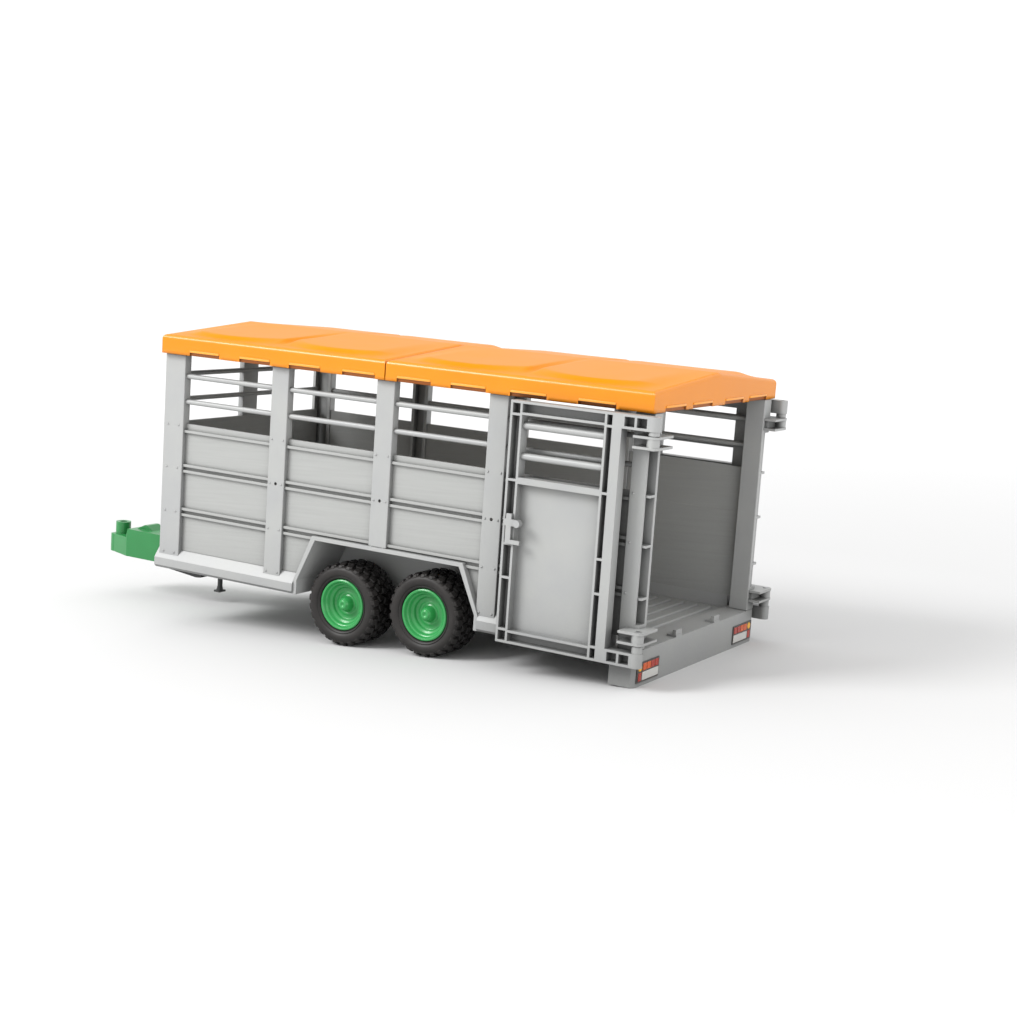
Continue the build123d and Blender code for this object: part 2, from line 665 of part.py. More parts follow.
def door_rails(side):
    """Two round rails across the door's window."""
    y = SIDES[side] * HINGE_Y
    u = (ARM_ROOM + HINGE_STRIP_WIDTH + HINGE_STILE_WIDTH, DOOR_REACH - STILE_WIDTH)
    return group([rod((HINGE_X - u[1], y, z), (HINGE_X - u[0], y, z), DOOR_RAIL_RADIUS)
                  for z in DOOR_RAIL_HEIGHTS])


def hinge_pins(side):
    """The two pegs that hang the door in its brackets."""
    y = SIDES[side] * HINGE_Y
    upper = (UPPER_LUGS[0] - 0.4, DOOR_TOP - 0.4)
    lower = (DOOR_BOTTOM + 0.4, LOWER_LUGS[1] + LUG_THICKNESS + 0.4)
    return group([rod((HINGE_X, y, low), (HINGE_X, y, high), PIN_RADIUS) for low, high in (upper, lower)])


def latch_spindle(side, radius):
    """The latch's spindle, through the free stile from face to face."""
    x, sign = HINGE_X - LATCH_U, SIDES[side]
    y_inner, y_outer = sign * (DOOR_INNER - LATCH_BACK), sign * (DOOR_OUTER + LATCH_GAP)
    return rod((x, y_inner, LATCH_HEIGHT), (x, y_outer, LATCH_HEIGHT), radius)


def door_latch(side):
    """A turn-button latch: a bar over the free stile with a knob and a foot to turn it by."""
    x, z = HINGE_X - LATCH_U, LATCH_HEIGHT
    face, out = SIDES[side] * (DOOR_OUTER + LATCH_GAP), SIDES[side]
    y = sorted((face, face + out * LATCH_BAR))
    half = LATCH_LENGTH / 2
    bar = block((x - 1.7, x + 1.7), y, (z - half, z + half))
    foot = block((x - 1.7, x + 7.6), y, (z - half, z - half + 2.4))
    arm = block((x - 3.2, x + 5.0), y, (z + 1.6, z + 5.4))
    knob = rod((x + 6.0, face, z + 3.5), (x + 6.0, face + out * LATCH_KNOB, z + 3.5), 2.1)
    back = SIDES[side] * (DOOR_INNER - LATCH_BACK)
    handle = block((x - 2.2, x + 2.2), sorted((back, back + out * (LATCH_BACK - LATCH_GAP))), (z - 6, z + 6))
    return bar + foot + arm + knob + handle + latch_spindle(side, PIN_RADIUS)


# ---- Running gear, drawn level in the world frame about the bogie's pivot --------------------------

TYRE_MIDDLE = HALF - TYRE_INSET - TYRE_WIDTH / 2
ROCKER_MIDDLE = HALF - TYRE_INSET - TYRE_WIDTH - ROCKER_GAP - ROCKER_THICKNESS / 2
WHEEL_OFFSETS = {"front": -WHEEL_SPACING / 2, "rear": WHEEL_SPACING / 2}


def wheel_place(side, which):
    """Moves a wheel drawn about the Y axis to its own axle, outer face outwards."""
    turn = Rot(0, 0, 0) if side == "right" else Rot(0, 0, 180)
    return Pos(WHEEL_OFFSETS[which], SIDES[side] * TYRE_MIDDLE, 0) * turn


def revolved(points):
    """A (radius, y) outline turned about the Y axis, with +Y as the wheel's outer face."""
    face = make_face(Polyline(*[(radius, y, 0) for radius, y in points], close=True))
    return revolve(face, Axis.Y)


def tyre(side, which):
    """The tyre: flat tread, sloped shoulders and a bead that sits on the rim."""
    half = TYRE_WIDTH / 2
    shoulder = WHEEL_RADIUS - 2.6
    widest = (RIM_SEAT_RADIUS + WHEEL_RADIUS) / 2 - 1.0
    points = [(RIM_SEAT_RADIUS, half - 3.0), (RIM_SEAT_RADIUS + 1.0, half - 0.8), (widest, half),
              (shoulder, half - 0.6), (WHEEL_RADIUS, half - 3.4)]
    mirrored = [(radius, -y) for radius, y in reversed(points)]
    return wheel_place(side, which) * revolved(points + mirrored)


def rim(side, which):
    """The rim: a stepped dish with a hub boss, bored for its axle."""
    half = TYRE_WIDTH / 2
    bore = AXLE_RADIUS + RUNNING_CLEARANCE
    points = [(bore, half - 3.6), (3.6, half - 3.6), (3.9, half - 8.2), (9.2, half - 9.0),
              (10.0, half - 7.2), (11.6, half - 6.8), (12.2, half - 4.6), (13.4, half - 4.2),
              (14.2, half - 1.4),
              (15.6, half - 1.4), (RIM_SEAT_RADIUS, half - 3.0), (RIM_SEAT_RADIUS, -half + 3.0),
              (15.0, -half + 1.6), (13.6, -half + 1.6), (13.2, half - 11.4), (4.4, half - 11.4),
              (4.0, -half + 0.6), (bore, -half + 0.6)]
    return wheel_place(side, which) * revolved(points)


def stub_axles(side):
    """Two stub axles pressed into the rocker, each with a head outside its wheel's hub."""
    sign = SIDES[side]
    axles = []
    inner = ROCKER_MIDDLE - ROCKER_THICKNESS / 2
    outer = HALF - TYRE_INSET - 3.6 + 0.3
    for x in WHEEL_OFFSETS.values():
        shaft = rod((x, sign * inner, 0), (x, sign * outer, 0), AXLE_RADIUS)
        head = rod((x, sign * outer, 0), (x, sign * (outer + 1.2), 0), AXLE_RADIUS + 1.2)
        axles.append(shaft + head)
    return group(axles)


def rocker(side):
    """The rocking beam that carries both stub axles of one side."""
    sign = SIDES[side]
    inner = ROCKER_MIDDLE - ROCKER_THICKNESS / 2
    y = sorted((sign * inner, sign * (inner + ROCKER_THICKNESS)))
    half, end = WHEEL_SPACING / 2, ROCKER_HEIGHT / 2
    points = [(-half, -end), (half, -end), (half + end, 0), (half, end), (6, end + 2),
              (-6, end + 2), (-half, end), (-half - end, 0)]
    beam = prism_y(points, *y)
    for x in WHEEL_OFFSETS.values():
        beam -= rod((x, y[0] - 1, 0), (x, y[1] + 1, 0), AXLE_RADIUS)
    return beam - rod((0, y[0] - 1, 0), (0, y[1] + 1, 0), AXLE_RADIUS + RUNNING_CLEARANCE)


def rocker_pin(side):
    """The pivot pin, drawn in the body frame, that holds the rocker to the wheel housing."""
    sign = SIDES[side]
    root = HALF - HOUSING_DEPTH + HOUSING_WALL
    tip = ROCKER_MIDDLE + ROCKER_THICKNESS / 2 + 0.3
    collar = ROCKER_MIDDLE - ROCKER_THICKNESS / 2 - 0.3
    at = lambda y: (BOGIE_X, sign * y, BOGIE_Z)
    pin = rod(at(root), at(collar), AXLE_RADIUS + 2.0) + rod(at(collar), at(tip), AXLE_RADIUS)
    return pin + rod(at(tip), at(tip + 0.6), AXLE_RADIUS + 1.4)


# ---- Drawbar and jack -------------------------------------------------------------------------------

def drawbar():
    """Deep drawbar with a tapered nose, hollow underneath, bored for the hitch bush."""
    profile = [(DRAWBAR_TIP, DRAWBAR_BOTTOM), (DRAWBAR_TIP + 2.2, DRAWBAR_NOSE_TOP - 0.8),
               (DRAWBAR_BREAK - 1.0, DRAWBAR_NOSE_TOP), (DRAWBAR_BREAK + 0.6, DRAWBAR_TOP),
               (-SILL_STAND_OFF, DRAWBAR_TOP), (-SILL_STAND_OFF, SILL_BOTTOM - 0.3),
               (DRAWBAR_TAIL, SILL_BOTTOM - 0.3), (DRAWBAR_TAIL - 8.0, DRAWBAR_BOTTOM)]
    bar = prism_y(profile, -DRAWBAR_WIDTH / 2, DRAWBAR_WIDTH / 2)
    plan = nose_plan()
    bar &= Pos(0, 0, DRAWBAR_BOTTOM - 1) * extrude(plan, 40)
    bar += rod((HITCH_X, 0, DRAWBAR_NOSE_TOP - 2), (HITCH_X, 0, HITCH_TOP), HITCH_RADIUS)
    crest = DRAWBAR_TOP + DRAWBAR_HUMP
    bar += prism_y([(-85.5, DRAWBAR_TOP - 1), (-85.5, DRAWBAR_TOP), (-79.0, crest), (-76.5, crest),
                    (-71.5, DRAWBAR_TOP), (-71.5, DRAWBAR_TOP - 1)], -6.0, 6.0)
    hollow = block((DRAWBAR_BREAK + 4, DRAWBAR_TAIL - 12),
                   (-DRAWBAR_WIDTH / 2 + DRAWBAR_WALL, DRAWBAR_WIDTH / 2 - DRAWBAR_WALL),
                   (DRAWBAR_BOTTOM - 1, SILL_BOTTOM - 0.3 - DRAWBAR_WALL))
    bar -= hollow
    bar -= rod((JACK_X, -20, JACK_PIVOT_Z), (JACK_X, 20, JACK_PIVOT_Z), PIN_RADIUS)
    for x in DRAWBAR_BOLTS:
        bar -= rod((x, 0, 0), (x, 0, SILL_BOTTOM), DRAWBAR_BOLT_RADIUS)
    bush = HITCH_BORE_RADIUS + HITCH_BUSH_WALL
    return bar - rod((HITCH_X, 0, DRAWBAR_BOTTOM - 2), (HITCH_X, 0, HITCH_TOP + 2), bush)


def nose_plan():
    """The drawbar seen from above: straight flanks, then a taper to a round nose."""
    half = DRAWBAR_WIDTH / 2
    nose_x = DRAWBAR_TIP + DRAWBAR_NOSE_RADIUS
    flank = make_face(Polyline((DRAWBAR_TAIL, -half), (DRAWBAR_BREAK, -half), (nose_x, -DRAWBAR_NOSE_RADIUS),
                               (nose_x, DRAWBAR_NOSE_RADIUS), (DRAWBAR_BREAK, half), (DRAWBAR_TAIL, half),
                               close=True))
    return flank + Pos(nose_x, 0) * Circle(DRAWBAR_NOSE_RADIUS)


def hitch_bush():
    """The lining of the hitch eye."""
    low, high = DRAWBAR_BOTTOM, HITCH_TOP
    outer = rod((HITCH_X, 0, low), (HITCH_X, 0, high), HITCH_BORE_RADIUS + HITCH_BUSH_WALL)
    return outer - rod((HITCH_X, 0, low - 1), (HITCH_X, 0, high + 1), HITCH_BORE_RADIUS)


def drawbar_bolts():
    """Bolts that clamp the drawbar's tail up to the floor."""
    bolts = []
    seat = SILL_BOTTOM - 0.3 - DRAWBAR_WALL
    for x in DRAWBAR_BOLTS:
        head = rod((x, 0, seat - 2.0), (x, 0, seat), 2 * DRAWBAR_BOLT_RADIUS)
        shank = rod((x, 0, seat), (x, 0, FLOOR_BOTTOM), DRAWBAR_BOLT_RADIUS)
        bolts.append(head + shank)
    return group(bolts)


def drawbar_keel():
    """Skid under the drawbar, with a plug that locates it in the hollow."""
    half = DRAWBAR_WIDTH / 2
    low = DRAWBAR_BOTTOM - KEEL_DROP
    skid = prism_y([(KEEL_FRONT, DRAWBAR_BOTTOM), (KEEL_FRONT + 3.0, DRAWBAR_BOTTOM - 2.4),
                    (KEEL_REAR - 6.0, low), (KEEL_REAR - 2.0, low + 0.4), (KEEL_REAR, DRAWBAR_BOTTOM)],
                   -half, half)
    reach = half - DRAWBAR_WALL - KEEL_PLUG_GAP
    plug = block((KEEL_FRONT + 4, KEEL_REAR - 2), (-reach, reach), (DRAWBAR_BOTTOM - 1, 8.0))
    return skid + plug


def jack_leg():
    """Folding support leg with a flared foot."""
    leg = rod((JACK_X, 0, JACK_FOOT_Z + 1.0), (JACK_X, 0, JACK_PIVOT_Z), JACK_LEG_RADIUS)
    eye = rod((JACK_X, -4, JACK_PIVOT_Z), (JACK_X, 4, JACK_PIVOT_Z), 3.2)
    foot = block((JACK_X - JACK_FOOT_LENGTH / 2, JACK_X + JACK_FOOT_LENGTH / 2),
                 (-JACK_FOOT_WIDTH / 2, JACK_FOOT_WIDTH / 2), (JACK_FOOT_Z, JACK_FOOT_Z + 1.2))
    flare = Pos(JACK_X, 0, JACK_FOOT_Z + 2.6) * Cone(2.4, JACK_LEG_RADIUS, 3.0)
    leg = leg + eye + foot + flare
    return leg - rod((JACK_X, -9, JACK_PIVOT_Z), (JACK_X, 9, JACK_PIVOT_Z), PIN_RADIUS + RUNNING_CLEARANCE)


def jack_pin():
    """The cross pin that the leg folds on."""
    half = DRAWBAR_WIDTH / 2
    return rod((JACK_X, -half, JACK_PIVOT_Z), (JACK_X, half, JACK_PIVOT_Z), PIN_RADIUS)


# ---- Assembly -----------------------------------------------------------------------------------------

def rest_tilt():
    """Nose-up angle at which both wheels and the bumper's rear edge touch the ground."""
    along, down = REAR - BOGIE_X, BOGIE_Z
    return degrees(asin(WHEEL_RADIUS / hypot(along, down)) - atan2(down, along))


def body_nodes():
    """Every piece drawn in the body frame."""
    nodes = {"floor_pan": floor_pan(), "bumper": bumper(), "door_catches": door_catches(),
             "front_boards": front_boards(), "front_window_rails": front_window_rails(),
             "front_top_rail": front_top_rail(), "front_sill": front_sill(), "rear_header": rear_header(),
             "front_roof": roof("front"), "rear_roof": roof("rear"), "drawbar": drawbar(),
             "hitch_bush": hitch_bush(), "drawbar_bolts": drawbar_bolts(),
             "drawbar_keel": drawbar_keel(), "jack_leg": jack_leg(),
             "jack_pin": jack_pin(), LATCH_SIDE + "_door_latch": door_latch(LATCH_SIDE)}
    makers = {"posts": side_posts, "boards": side_boards, "window_rails": side_window_rails,
              "top_rail": side_top_rail, "sill": side_sill, "wheel_housing": wheel_housing,
              "corner_post": corner_post, "hinge_brackets": hinge_brackets, "door": door,
              "door_rails": door_rails, "hinge_pins": hinge_pins,
              "tail_light_plate": tail_light_plate, "rocker_pin": rocker_pin}
    for side in SIDES:
        for name, make in makers.items():
            nodes[side + "_" + name] = make(side)
    return nodes


def running_nodes():
    """Every piece drawn level about the bogie's pivot."""
    nodes = {}
    for side in SIDES:
        nodes[side + "_rocker"] = rocker(side)
        nodes[side + "_stub_axles"] = stub_axles(side)
        for which in WHEEL_OFFSETS:
            nodes[f"{side}_{which}_tyre"] = tyre(side, which)
            nodes[f"{side}_{which}_rim"] = rim(side, which)
    return nodes


def world_place():
    """The body's place in the world: tipped about the bogie's pivot, one wheel radius up."""
    return Pos(0, 0, WHEEL_RADIUS) * Rot(0, rest_tilt(), 0) * Pos(-BOGIE_X, 0, -BOGIE_Z)


def centring(nodes):
    """Shift along X that centres the whole trailer over the origin."""
    boxes = [shape.bounding_box() for shape in nodes.values()]
    return -(min(b.min.X for b in boxes) + max(b.max.X for b in boxes)) / 2


def assembled():
    """All nodes in the world frame, and the shift that centred them."""
    nodes = {name: world_place() * shape for name, shape in body_nodes().items()}
    for name, shape in running_nodes().items():
        nodes[name] = Pos(0, 0, WHEEL_RADIUS) * shape
    shift = centring(nodes)
    return {name: Pos(shift, 0, 0) * shape for name, shape in nodes.items()}, shift


NODES, SHIFT = assembled()
os.makedirs("parts", exist_ok=True)
for node_name, node_shape in NODES.items():
    export_step(node_shape, "parts/" + node_name + ".step")
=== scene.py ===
import json
import math

import bmesh
import bpy
from mathutils import Matrix, Vector


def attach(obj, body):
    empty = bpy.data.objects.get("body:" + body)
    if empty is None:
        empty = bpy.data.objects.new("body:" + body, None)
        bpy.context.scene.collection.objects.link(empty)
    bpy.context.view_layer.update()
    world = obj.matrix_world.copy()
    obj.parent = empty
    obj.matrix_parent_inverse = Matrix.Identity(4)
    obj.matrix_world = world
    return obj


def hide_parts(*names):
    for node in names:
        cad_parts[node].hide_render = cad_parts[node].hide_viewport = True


# Looks for a 1:16 toy livestock trailer. New pieces are drawn in millimetres, in the body's own
# frame: X rearwards from the front wall, Y to the right-hand side, Z up from the bumper's underside.

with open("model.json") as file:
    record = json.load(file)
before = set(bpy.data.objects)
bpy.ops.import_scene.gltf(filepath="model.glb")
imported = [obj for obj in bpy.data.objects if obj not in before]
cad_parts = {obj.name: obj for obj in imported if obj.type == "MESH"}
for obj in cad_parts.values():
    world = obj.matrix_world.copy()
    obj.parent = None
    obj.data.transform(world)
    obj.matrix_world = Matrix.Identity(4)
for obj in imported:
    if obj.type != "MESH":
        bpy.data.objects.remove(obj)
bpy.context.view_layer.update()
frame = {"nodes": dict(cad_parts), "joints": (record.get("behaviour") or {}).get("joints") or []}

MM = 0.001
JOINTS = {joint["name"]: joint for joint in frame["joints"]}
SIDES = {"left": -1, "right": 1}
ENDS = ("front", "rear")

# Sizes shared with the part
BODY_LENGTH = 342.5
HALF_WIDTH = 80.0
BOGIE_X, BOGIE_Z = 171.0, 14.2
POST_CENTRES = (7.95, 90.6, 167.8, 245.0)
TYRE_WIDTH = 27.0
RIM_SEAT = 15.6
WHEEL_INSET = 3.0

bogie = Vector(JOINTS["left_rocker_pivot"]["pos_m"])
upright = Vector(JOINTS["front_roof_lift"]["axis"])
tilt = math.atan2(upright.x, upright.z)
BODY_PLACE = (Matrix.Translation((bogie.x, 0, bogie.z)) @ Matrix.Rotation(tilt, 4, "Y")
              @ Matrix.Scale(MM, 4) @ Matrix.Translation((-BOGIE_X, 0, -BOGIE_Z)))


# ---- Materials ---------------------------------------------------------------------------------

def srgb(code, alpha=1.0):
    """An sRGB hex colour as linear RGBA."""
    parts = [int(code[i:i + 2], 16) / 255 for i in (0, 2, 4)]
    return tuple(c / 12.92 if c <= 0.04045 else ((c + 0.055) / 1.055) ** 2.4 for c in parts) + (alpha,)


def add(tree, kind, settings=None, links=None):
    """Adds a node, sets its sockets or properties by name, and links its inputs."""
    node = tree.nodes.new(kind)
    for name, value in (settings or {}).items():
        if name in node.inputs:
            node.inputs[name].default_value = value
        else:
            setattr(node, name, value)
    for name, source in (links or {}).items():
        tree.links.new(source, node.inputs[name])
    return node


def per_metre(size_mm):
    """Noise scale for features of a size in millimetres on Object coordinates."""
    return 1.0 / (size_mm * MM)


def material(name):
    """An empty material with its tree, Principled shader and object coordinates."""
    made = bpy.data.materials.new(name)
    made.use_nodes = True
    tree = made.node_tree
    tree.nodes.clear()
    shader = add(tree, "ShaderNodeBsdfPrincipled")
    add(tree, "ShaderNodeOutputMaterial", links={"Surface": shader.outputs["BSDF"]})
    place = add(tree, "ShaderNodeTexCoord").outputs["Object"]
    return made, tree, shader, place


def paint_shade_and_soften_edges(tree, shader, colour, grain, relief_mm, strength=0.6, edge_mm=0.3, shade=0.3):
    """Finishes a moulded surface: painted shade darkens its colour where it is enclosed, and its edges are
    soft.
    """
    # Painted shade: the ambient occlusion scales the base colour down in corners, recesses and between parts.
    enclosed = add(tree, "ShaderNodeAmbientOcclusion", {"samples": 8, "Distance": 0.1})
    depth = add(tree, "ShaderNodeMapRange", {"From Min": 0.12, "From Max": 0.8, "To Min": shade},
                {"Value": enclosed.outputs["AO"]})
    painted_shade_colour = add(tree, "ShaderNodeVectorMath", {"operation": "SCALE"},
                   {"Vector": colour, "Scale": depth.outputs["Result"]})
    tree.links.new(painted_shade_colour.outputs["Vector"], shader.inputs["Base Color"])
    edge = add(tree, "ShaderNodeBevel", {"samples": 4, "Radius": edge_mm * MM})
    bump = add(tree, "ShaderNodeBump", {"Strength": strength, "Distance": relief_mm * MM},
               {"Height": grain, "Normal": edge.outputs["Normal"]})
    tree.links.new(bump.outputs["Normal"], shader.inputs["Normal"])


def colour_spread(tree, noise, low, high, deep, light):
    """A colour that runs from deep to light over a band of a noise."""
    spread = add(tree, "ShaderNodeMapRange", {"From Min": low, "From Max": high}, {"Value": noise})
    colour = add(tree, "ShaderNodeMix", {"data_type": "RGBA"})
    set_mix(tree, colour, spread.outputs["Result"], srgb(deep), srgb(light))
    return colour.outputs[2]


def set_mix(tree, mix, factor, first, second):
    """Feeds a colour mix: socket names repeat on this node, so they go by number."""
    tree.links.new(factor, mix.inputs[0])
    mix.inputs[6].default_value = first
    mix.inputs[7].default_value = second


def moulded_plastic(name, light, deep, roughness, patch_mm=22.0, grain_mm=0.6, relief_mm=0.008, shade=0.25,
                    edge_mm=0.3, gleam=0.5):
    """Injection-moulded plastic: slow flow patches in colour and gloss over a fine spark-eroded grain, with
    painted shade where it is enclosed.
    """
    made, tree, shader, place = material(name)
    patches = add(tree, "ShaderNodeTexNoise", {"Scale": per_metre(patch_mm), "Detail": 3.0},
                  {"Vector": place})
    colour = colour_spread(tree, patches.outputs["Fac"], 0.3, 0.7, deep, light)
    gloss = add(tree, "ShaderNodeMapRange", {"To Min": roughness - 0.05, "To Max": roughness + 0.05},
                {"Value": patches.outputs["Fac"]})
    tree.links.new(gloss.outputs["Result"], shader.inputs["Roughness"])
    grain = add(tree, "ShaderNodeTexNoise", {"Scale": per_metre(grain_mm), "Detail": 2.0},
                {"Vector": place})
    # Painted shade darkens this plastic in its enclosed places; shade sets how dark it gets.
    paint_shade_and_soften_edges(tree, shader, colour, grain.outputs["Fac"], relief_mm, edge_mm=edge_mm, shade=shade)
    shader.inputs["IOR"].default_value = 1.5
    shader.inputs["Specular IOR Level"].default_value = gleam
    return made


def board_plastic(name, along, light, deep, roughness):
    """The same plastic from a mould cut with wood grain: long faint streaks in relief and in colour, and
    strong painted shade where it is enclosed.
    """
    made, tree, shader, place = material(name)
    streak = {"X": (per_metre(45.0), per_metre(1.2), per_metre(1.2)),
              "Y": (per_metre(1.2), per_metre(45.0), per_metre(1.2))}[along]
    stretched = add(tree, "ShaderNodeMapping",
                    {"vector_type": "POINT", "Rotation": (0.0, -tilt, 0.0), "Scale": streak},
                    {"Vector": place})
    grain = add(tree, "ShaderNodeTexNoise", {"Scale": 1.0, "Detail": 4.0, "Roughness": 0.6},
                {"Vector": stretched.outputs["Vector"]})
    colour = colour_spread(tree, grain.outputs["Fac"], 0.3, 0.7, deep, light)
    # Strong painted shade: the boards are darkened far into the enclosed inside of the body.
    paint_shade_and_soften_edges(tree, shader, colour, grain.outputs["Fac"], 0.05, 0.7, shade=0.18)
    shader.inputs["Roughness"].default_value = roughness
    shader.inputs["IOR"].default_value = 1.5
    return made


def tyre_vinyl(name):
    """Soft vinyl tyre: dull black-brown with a fine tooth and a little dust on its rougher patches, and
    painted shade in its enclosed places.
    """
    made, tree, shader, place = material(name)
    dust = add(tree, "ShaderNodeTexNoise", {"Scale": per_metre(9.0), "Detail": 5.0}, {"Vector": place})
    colour = colour_spread(tree, dust.outputs["Fac"], 0.4, 0.75, "262322", "2F2C2A")
    tooth = add(tree, "ShaderNodeTexNoise", {"Scale": per_metre(0.5), "Detail": 3.0}, {"Vector": place})
    # Painted shade darkens the tyre between its tread blocks and towards the rim.
    paint_shade_and_soften_edges(tree, shader, colour, tooth.outputs["Fac"], 0.015, 0.5, 0.25, 0.3)
    shader.inputs["Roughness"].default_value = 0.5
    shader.inputs["Specular IOR Level"].default_value = 0.35
    shader.inputs["IOR"].default_value = 1.5
    return made


def turned_steel(name):
    """Plated steel pins: bright metal with faint turning rings."""
    made, tree, shader, place = material(name)
    rings = add(tree, "ShaderNodeTexNoise", {"Scale": per_metre(0.4), "Detail": 1.0}, {"Vector": place})
    gloss = add(tree, "ShaderNodeMapRange", {"To Min": 0.28, "To Max": 0.42},
                {"Value": rings.outputs["Fac"]})
    tree.links.new(gloss.outputs["Result"], shader.inputs["Roughness"])
    shader.inputs["Base Color"].default_value = srgb("B9BABB")
    shader.inputs["Metallic"].default_value = 1.0
    return made


# Body shell, posts, doors and floor: light-grey ABS with painted shade where enclosed; inside the arches a
# paler copy with less painted shade stands in for light thrown up from the floor; boards have a wood grain
GREY = moulded_plastic("moulded_abs_light_grey", "A4A5A3", "9FA0A0", 0.4)
GREY_ARCH = moulded_plastic("moulded_abs_light_grey_arch_less_painted_shade", "A4A5A3", "9FA0A0", 0.4, shade=0.9)
BOARD = board_plastic("woodgrain_abs_light_grey", "X", "A2A3A1", "9C9D9B", 0.45)
BOARD_ACROSS = board_plastic("woodgrain_abs_light_grey_across", "Y", "A2A3A1", "9C9D9B", 0.45)
# Roof halves: orange ABS, rubbed on the brow and the skirt; the grip lips are painted lighter as a painted
# highlight, and the matt inside and the grip recesses are painted darker as painted shade
ORANGE = moulded_plastic("moulded_abs_orange", "DC8506", "D88104", 0.36, 40.0, shade=0.5, gleam=0.05)
ORANGE_LIP = moulded_plastic("moulded_abs_orange_lip_painted_highlight", "EFA03A", "EA9A34", 0.3, shade=0.8)
ORANGE_BROW = moulded_plastic("moulded_abs_orange_rubbed_brow", "DC850A", "D88108", 0.24, 40.0,
                              shade=0.5, gleam=0.4)
# The roof's inside: the same orange painted dull and dark as painted shade.
ORANGE_INSIDE = moulded_plastic("moulded_abs_orange_matt_inside_painted_shade", "96743F", "906F3C", 0.6, 40.0)
# The grip recesses: the orange painted dark brown as painted shade under the lips.
ORANGE_RECESS = moulded_plastic("moulded_abs_orange_grip_recess_painted_shade", "A0560E", "9A520C", 0.5, 40.0)
# Drawbar and hitch bush, then rims and axle heads: green ABS; the rims and axle heads get a lighter copy with
# less painted shade, as painted light on the wheels
GREEN = moulded_plastic("moulded_abs_green", "2B8245", "277B40", 0.3, shade=0.7)
GREEN_WHEEL = moulded_plastic("moulded_abs_green_wheel_painted_lighter", "359550", "308E4A", 0.25, shade=0.9)
# Jack leg and rocker pins, then rockers and drawbar skid: nylon; the drawbar skid is black as painted shade
# under the drawbar's front
DARK = moulded_plastic("moulded_nylon_dark_grey", "5A5C5B", "525453", 0.45)
BLACK = moulded_plastic("moulded_nylon_black", "242525", "1F2020", 0.5)
# Tyres: soft vinyl. Hinge pins, drawbar bolts and jack pin: plated steel
TYRE = tyre_vinyl("soft_vinyl_tyre")
STEEL = turned_steel("plated_steel")
# Tail lamps: glossy printed film in plain colours
LAMP_AMBER = moulded_plastic("lamp_print_amber", "F0B018", "E8A60E", 0.2, shade=0.7)
LAMP_ORANGE = moulded_plastic("lamp_print_orange", "D05A1E", "C85218", 0.2, shade=0.7)
LAMP_RED = moulded_plastic("lamp_print_red", "A83224", "A02C20", 0.2, shade=0.7)
LAMP_WHITE = moulded_plastic("lamp_print_white", "C9C8C4", "C2C1BD", 0.25, shade=0.7)
LAMP_BORDER = moulded_plastic("lamp_print_border", "3C3634", "352F2D", 0.3, shade=0.7)


# ---- Pieces --------------------------------------------------------------------------------------

def finish_piece(name, bm, body, finish, place=BODY_PLACE, replaces=(), sharp=35.0, outwards=True):
    """Places a mesh drawn in millimetres, gives it its material and makes it ride on its body."""
    if outwards:
        bmesh.ops.recalc_face_normals(bm, faces=bm.faces)
    bm.transform(place)
    mesh = bpy.data.meshes.new(name)
    bm.to_mesh(mesh)
    bm.free()
    for one in finish if isinstance(finish, (list, tuple)) else [finish]:
        mesh.materials.append(one)
    mesh.shade_smooth()
    mesh.set_sharp_from_angle(angle=math.radians(sharp))
    piece = bpy.data.objects.new(name, mesh)
    bpy.context.scene.collection.objects.link(piece)
    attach(piece, body)
    if replaces:
        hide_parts(*replaces)
    return piece


def spun(bm, outline, steps, closed=True):
    """Turns a (radius, y) outline round the Y axis; one that starts and ends on the axis is left open."""
    verts = [bm.verts.new((radius, y, 0)) for radius, y in outline]
    edges = [bm.edges.new((a, b)) for a, b in zip(verts, verts[1:] + (verts[:1] if closed else []))]
    bmesh.ops.spin(bm, geom=verts + edges, cent=(0, 0, 0), axis=(0, 1, 0), angle=2 * math.pi, steps=steps,
                   use_merge=True)
    bmesh.ops.remove_doubles(bm, verts=bm.verts, dist=1e-4)


def bevelled_block(bm, size, place, edge, segments=1, material_index=0):
    """Adds a box of a size, with soft edges, at a place."""
    made = bmesh.ops.create_cube(bm, size=1.0, matrix=place @ Matrix.Diagonal((*size, 1.0)))
    verts = made["verts"]
    faces = list({face for vert in verts for face in vert.link_faces})
    edges = list({e for vert in verts for e in vert.link_edges})
    for face in faces:
        face.material_index = material_index
    bmesh.ops.bevel(bm, geom=edges, offset=edge, offset_type="OFFSET", affect="EDGES", segments=segments,
                    profile=0.5, material=-1)


# Tyres: a smooth carcass under staggered tread blocks
TREAD_BASE = 24.0
TREAD_COUNT = 26
TREAD_HEIGHT = 3.0
TYRE_STEPS, RIM_STEPS, AXLE_STEPS = 120, 96, 48
# across, radius of the block's top, width, length, lean and twist in degrees, share of a pitch
TREAD_ROWS = (
    (-12.5, 23.6, 2.6, 3.2, 52.0, 0.0, 0.0),
    (-10.3, 24.85, 4.2, 3.9, 20.0, 8.0, 0.04),
    (-5.3, 25.3, 4.6, 4.2, 4.0, 24.0, 0.5),
    (0.0, 25.35, 4.4, 4.0, 0.0, -20.0, 0.02),
    (5.3, 25.3, 4.6, 4.2, -4.0, 24.0, 0.52),
    (10.3, 24.85, 4.2, 3.9, -20.0, 8.0, 0.06),
    (12.5, 23.6, 2.6, 3.2, -52.0, 0.0, 0.1),
)


